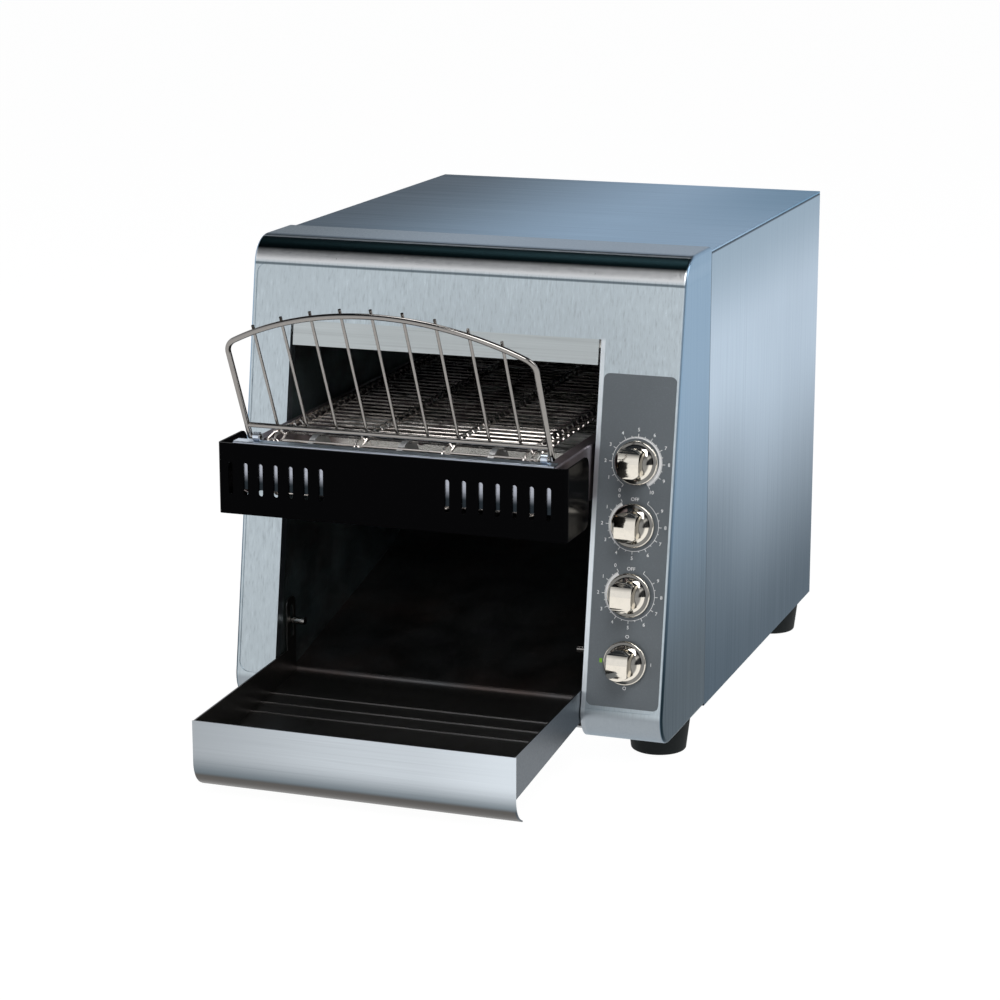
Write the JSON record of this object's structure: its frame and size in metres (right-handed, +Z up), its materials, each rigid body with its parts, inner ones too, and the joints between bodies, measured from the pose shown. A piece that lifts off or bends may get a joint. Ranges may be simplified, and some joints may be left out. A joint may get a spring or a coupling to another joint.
{
  "type": "conveyor toaster",
  "caption": "Countertop conveyor toaster with a leaning steel front, wire belt, loading rack, slotted heat guard, discharge tray and a column of knobs.",
  "frame": {"origin": "on the counter, under the middle of the machine's box, tray and gland included", "axes": "+Z up, +Y to the rear, +X to the right as the operator faces the machine"},
  "size_m": [0.368, 0.663, 0.4085],
  "materials": {
    "brushed_steel": "brushed",
    "inner_steel": "mill finish, heat tinted",
    "bright_reflector": "polished",
    "chrome": "polished",
    "belt_wire": "bright wire",
    "black_paint": "satin black",
    "grey_overlay": "satin",
    "black_rubber": "matt",
    "dark_plastic": "matt",
    "quartz": "frosted",
    "coil_wire": "oxidised",
    "ceramic": "glazed ceramic",
    "zinc": "zinc plated",
    "cast_grey": "cast",
    "bronze": "sintered bronze"
  },
  "bodies": {
    "casing": {"front_fascia": "brushed_steel", "lintel_strip": "brushed_steel", "top_cover": "brushed_steel", "left_side_panel": "brushed_steel", "right_side_panel": "brushed_steel", "rear_panel": "brushed_steel", "base_pan": "zinc", "front_left_foot": "black_rubber", "front_right_foot": "black_rubber", "rear_left_foot": "black_rubber", "rear_right_foot": "black_rubber", "left_tunnel_wall": "inner_steel", "right_tunnel_wall": "inner_steel", "tunnel_ceiling": "inner_steel", "left_conveyor_plate": "inner_steel", "right_conveyor_plate": "inner_steel", "conveyor_front_bar": "brushed_steel", "conveyor_belt": "belt_wire", "belt_support_rails": "inner_steel", "shaft_bushes": "bronze", "quartz_tubes": "quartz", "heater_coils": "coil_wire", "ceramic_end_caps": "ceramic", "upper_reflector": "bright_reflector", "lower_reflector": "bright_reflector", "discharge_chute": "inner_steel", "tray_pins": "zinc", "heat_guard": "black_paint", "frame_spacers": "zinc", "rack_clips": "brushed_steel", "control_overlay": "grey_overlay", "speed_regulator": "dark_plastic", "top_heat_regulator": "dark_plastic", "bottom_heat_regulator": "dark_plastic", "power_switch": "dark_plastic", "drive_chain": "zinc", "gear_motor": "cast_grey", "motor_bracket": "zinc", "fan_frame": "dark_plastic", "cord_gland": "dark_plastic", "terminal_block": "dark_plastic", "machine_screws": "zinc"},
    "speed_control": {"speed_knob": "chrome", "speed_spindle": "bronze"},
    "top_heat_control": {"top_heat_knob": "chrome", "top_heat_spindle": "bronze"},
    "bottom_heat_control": {"bottom_heat_knob": "chrome", "bottom_heat_spindle": "bronze"},
    "power_control": {"power_knob": "chrome", "power_spindle": "bronze"},
    "drive_set": {"drive_shaft": "zinc", "drive_sprockets": "zinc", "driven_sprocket": "zinc"},
    "idler_set": {"idler_shaft": "zinc", "idler_sprockets": "zinc"},
    "motor_output": {"motor_shaft": "zinc", "motor_sprocket": "zinc"},
    "fan_wheel": {"fan_rotor": "dark_plastic"},
    "rack": {"loading_rack": "chrome"},
    "tray": {"discharge_tray": "brushed_steel"}
  },
  "joints": [
    {"name": "speed_turn", "type": "hinge", "parent": "casing", "child": "speed_control", "pos_m": [0.1518, -0.14354, 0.2495], "axis": [0, -0.9874, 0.1582], "range_deg": [-150, 150]},
    {"name": "top_heat_turn", "type": "hinge", "parent": "casing", "child": "top_heat_control", "pos_m": [0.1518, -0.15137, 0.2006], "axis": [0, -0.9874, 0.1582], "range_deg": [0, 330]},
    {"name": "bottom_heat_turn", "type": "hinge", "parent": "casing", "child": "bottom_heat_control", "pos_m": [0.1518, -0.16009, 0.1462], "axis": [0, -0.9874, 0.1582], "range_deg": [0, 330]},
    {"name": "power_turn", "type": "hinge", "parent": "casing", "child": "power_control", "pos_m": [0.1518, -0.16861, 0.093], "axis": [0, -0.9874, 0.1582], "range_deg": [-270, 0]},
    {"name": "drive_spin", "type": "hinge", "parent": "casing", "child": "drive_set", "pos_m": [0, 0.22084, 0.24366], "axis": [1, 0, 0], "continuous": true, "deforming": ["conveyor_belt", "drive_chain"]},
    {"name": "idler_spin", "type": "hinge", "parent": "casing", "child": "idler_set", "pos_m": [0, -0.21097, 0.24366], "axis": [1, 0, 0], "continuous": true},
    {"name": "motor_spin", "type": "hinge", "parent": "casing", "child": "motor_output", "pos_m": [0, 0.12701, 0.12357], "axis": [1, 0, 0], "continuous": true},
    {"name": "fan_spin", "type": "hinge", "parent": "casing", "child": "fan_wheel", "pos_m": [-0.06, 0.3115, 0.093], "axis": [0, 1, 0], "continuous": true},
    {"name": "rack_tip", "type": "hinge", "parent": "casing", "child": "rack", "pos_m": [0, -0.2385, 0.2698], "axis": [1, 0, 0], "range_deg": [-26.6, 0]},
    {"name": "tray_lift", "type": "slide", "parent": "casing", "child": "tray", "axis": [0, 0, 1], "range_m": [0, 0.011]}
  ],
  "couplings": [
    {"joint": "idler_spin", "follows": "drive_spin", "ratio": 1},
    {"joint": "motor_spin", "follows": "drive_spin", "ratio": 1}
  ]
}
